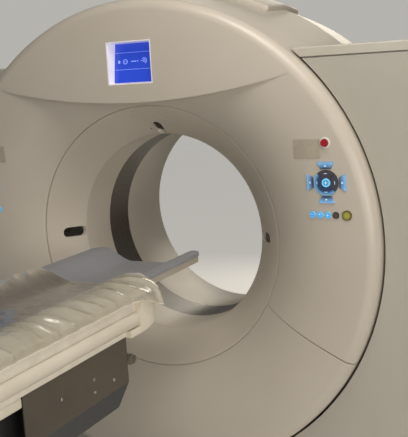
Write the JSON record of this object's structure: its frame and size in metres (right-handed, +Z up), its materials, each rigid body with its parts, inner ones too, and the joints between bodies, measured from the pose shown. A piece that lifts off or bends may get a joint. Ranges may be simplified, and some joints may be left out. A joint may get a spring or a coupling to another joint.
{
  "type": "ct scanner with patient table",
  "caption": "Medical CT scanner: ring-shaped gantry with side boxes, a rotor with tube and detector inside, and a patient table that lifts and slides into the bore.",
  "frame": {"origin": "on the floor under the isocentre: bore axis at height 1.0 m, scan plane at Y = 0", "axes": "+Y along the bore, from the table into the gantry; +Z up; +X to the right seen from the table"},
  "size_m": [2.304, 3.475, 1.944],
  "materials": {
    "frame_paint": "satin",
    "bearing_steel": "ground",
    "motor_paint": "satin",
    "pulley_metal": "machined",
    "belt_rubber": "matte",
    "insulator": "matte",
    "cast_metal": "as cast and machined",
    "tube_paint": "semi-gloss",
    "detector_metal": "anodised",
    "fin_metal": "bare",
    "ring_brass": "polished",
    "cover_shell": "painted, semi-gloss",
    "funnel_shell": "painted, semi-gloss",
    "window_film": "satin film",
    "side_paint": "fine texture, semi-gloss",
    "bezel_plastic": "satin",
    "screen": "lit",
    "dark_window": "gloss",
    "key_grey": "satin",
    "key_blue": "satin",
    "key_light": "lit",
    "key_olive": "satin",
    "stop_red": "gloss",
    "table_shell": "painted, semi-gloss",
    "black_cover": "satin",
    "column_metal": "anodised",
    "table_paint": "fine texture",
    "rail_plastic": "semi-gloss",
    "skirt_paint": "satin",
    "cradle_shell": "moulded laminate",
    "pad_cloth": "coated cloth",
    "mattress_foam": "coated cloth",
    "clear_sheet": "thin wrinkled film"
  },
  "bodies": {
    "root": {"gantry_base": "frame_paint", "stationary_frame": "frame_paint", "bearing_outer_race": "bearing_steel", "drive_motor": "motor_paint", "drive_belt": "belt_rubber", "brush_block": "insulator", "front_cover": "cover_shell", "lower_front_cover": "cover_shell", "bore_funnel": "funnel_shell", "scan_window_ring": "window_film", "rear_funnel": "funnel_shell", "rear_cover": "cover_shell", "top_cover": "cover_shell", "left_side_box": "side_paint", "right_side_box": "side_paint", "side_box_lids": "side_paint", "display_bezel": "bezel_plastic", "display_screen": "screen", "laser_windows": "dark_window", "right_key_base": "key_grey", "left_key_base": "key_blue", "table_foot": "frame_paint", "base_cover": "table_shell", "lift_motor": "motor_paint"},
    "rotor": {"rotor_frame": "cast_metal", "bearing_inner_race": "bearing_steel", "xray_tube": "tube_paint", "collimator": "pulley_metal", "detector": "detector_metal", "generator": "tube_paint", "heat_exchanger": "fin_metal", "slip_ring": "ring_brass"},
    "drive_pulley": {"drive_pulley": "pulley_metal"},
    "lift": {"lift_cover": "black_cover", "lift_columns": "column_metal", "table_frame": "table_paint", "front_end_cap": "table_shell", "side_rails": "rail_plastic", "skirt_plates": "skirt_paint"},
    "lift_screw": {"lift_screw": "bearing_steel"},
    "top": {"tabletop": "cradle_shell", "table_pad": "pad_cloth", "mattress": "mattress_foam", "vinyl_sheet": "clear_sheet"},
    "right_stop_button": {"right_stop_button": "stop_red"},
    "right_centre_key": {"right_centre_key": "key_light"},
    "right_ring_key_up": {"right_ring_key_up": "key_blue"},
    "right_ring_key_left": {"right_ring_key_left": "key_blue"},
    "right_ring_key_down": {"right_ring_key_down": "key_blue"},
    "right_ring_key_right": {"right_ring_key_right": "key_blue"},
    "right_outer_key_up": {"right_outer_key_up": "key_light"},
    "right_outer_key_left": {"right_outer_key_left": "key_light"},
    "right_outer_key_down": {"right_outer_key_down": "key_light"},
    "right_outer_key_right": {"right_outer_key_right": "key_light"},
    "right_row_key_1": {"right_row_key_1": "key_light"},
    "right_row_key_2": {"right_row_key_2": "key_light"},
    "right_row_key_3": {"right_row_key_3": "key_light"},
    "right_row_key_4": {"right_row_key_4": "key_grey"},
    "right_start_key": {"right_start_key": "key_olive"},
    "left_stop_button": {"left_stop_button": "stop_red"}
  },
  "joints": [
    {"name": "rotor_spin", "type": "hinge", "parent": "root", "child": "rotor", "pos_m": [0, 0, 1], "axis": [0, 1, 0], "continuous": true},
    {"name": "pulley_spin", "type": "hinge", "parent": "root", "child": "drive_pulley", "pos_m": [0.59397, 0, 0.40603], "axis": [0, 1, 0], "continuous": true},
    {"name": "table_lift", "type": "slide", "parent": "root", "child": "lift", "axis": [0, 0, 1], "range_m": [-0.14, 0.03]},
    {"name": "screw_spin", "type": "hinge", "parent": "root", "child": "lift_screw", "pos_m": [0, -2.14, 0], "axis": [0, 0, 1], "range_deg": [-2530, 545]},
    {"name": "top_slide", "type": "slide", "parent": "lift", "child": "top", "axis": [0, 1, 0], "range_m": [-0.4, 1.25]},
    {"name": "right_stop_press", "type": "slide", "parent": "root", "child": "right_stop_button", "axis": [0, 1, 0], "range_m": [0, 0.0015], "stiffness_N_per_m": 700},
    {"name": "right_centre_press", "type": "slide", "parent": "root", "child": "right_centre_key", "axis": [0, 1, 0], "range_m": [0, 0.0015], "stiffness_N_per_m": 700},
    {"name": "right_ring_up_press", "type": "slide", "parent": "root", "child": "right_ring_key_up", "axis": [0, 1, 0], "range_m": [0, 0.0015], "stiffness_N_per_m": 700},
    {"name": "right_ring_left_press", "type": "slide", "parent": "root", "child": "right_ring_key_left", "axis": [0, 1, 0], "range_m": [0, 0.0015], "stiffness_N_per_m": 700},
    {"name": "right_ring_down_press", "type": "slide", "parent": "root", "child": "right_ring_key_down", "axis": [0, 1, 0], "range_m": [0, 0.0015], "stiffness_N_per_m": 700},
    {"name": "right_ring_right_press", "type": "slide", "parent": "root", "child": "right_ring_key_right", "axis": [0, 1, 0], "range_m": [0, 0.0015], "stiffness_N_per_m": 700},
    {"name": "right_outer_up_press", "type": "slide", "parent": "root", "child": "right_outer_key_up", "axis": [0, 1, 0], "range_m": [0, 0.0015], "stiffness_N_per_m": 700},
    {"name": "right_outer_left_press", "type": "slide", "parent": "root", "child": "right_outer_key_left", "axis": [0, 1, 0], "range_m": [0, 0.0015], "stiffness_N_per_m": 700},
    {"name": "right_outer_down_press", "type": "slide", "parent": "root", "child": "right_outer_key_down", "axis": [0, 1, 0], "range_m": [0, 0.0015], "stiffness_N_per_m": 700},
    {"name": "right_outer_right_press", "type": "slide", "parent": "root", "child": "right_outer_key_right", "axis": [0, 1, 0], "range_m": [0, 0.0015], "stiffness_N_per_m": 700},
    {"name": "right_row_1_press", "type": "slide", "parent": "root", "child": "right_row_key_1", "axis": [0, 1, 0], "range_m": [0, 0.0015], "stiffness_N_per_m": 700},
    {"name": "right_row_2_press", "type": "slide", "parent": "root", "child": "right_row_key_2", "axis": [0, 1, 0], "range_m": [0, 0.0015], "stiffness_N_per_m": 700},
    {"name": "right_row_3_press", "type": "slide", "parent": "root", "child": "right_row_key_3", "axis": [0, 1, 0], "range_m": [0, 0.0015], "stiffness_N_per_m": 700},
    {"name": "right_row_4_press", "type": "slide", "parent": "root", "child": "right_row_key_4", "axis": [0, 1, 0], "range_m": [0, 0.0015], "stiffness_N_per_m": 700},
    {"name": "right_start_press", "type": "slide", "parent": "root", "child": "right_start_key", "axis": [0, 1, 0], "range_m": [0, 0.0015], "stiffness_N_per_m": 700},
    {"name": "left_stop_press", "type": "slide", "parent": "root", "child": "left_stop_button", "axis": [0, 1, 0], "range_m": [0, 0.0015], "stiffness_N_per_m": 700}
  ],
  "couplings": [
    {"joint": "pulley_spin", "follows": "rotor_spin", "ratio": 16.889},
    {"joint": "screw_spin", "follows": "table_lift", "rad_per_m": 314.16}
  ]
}
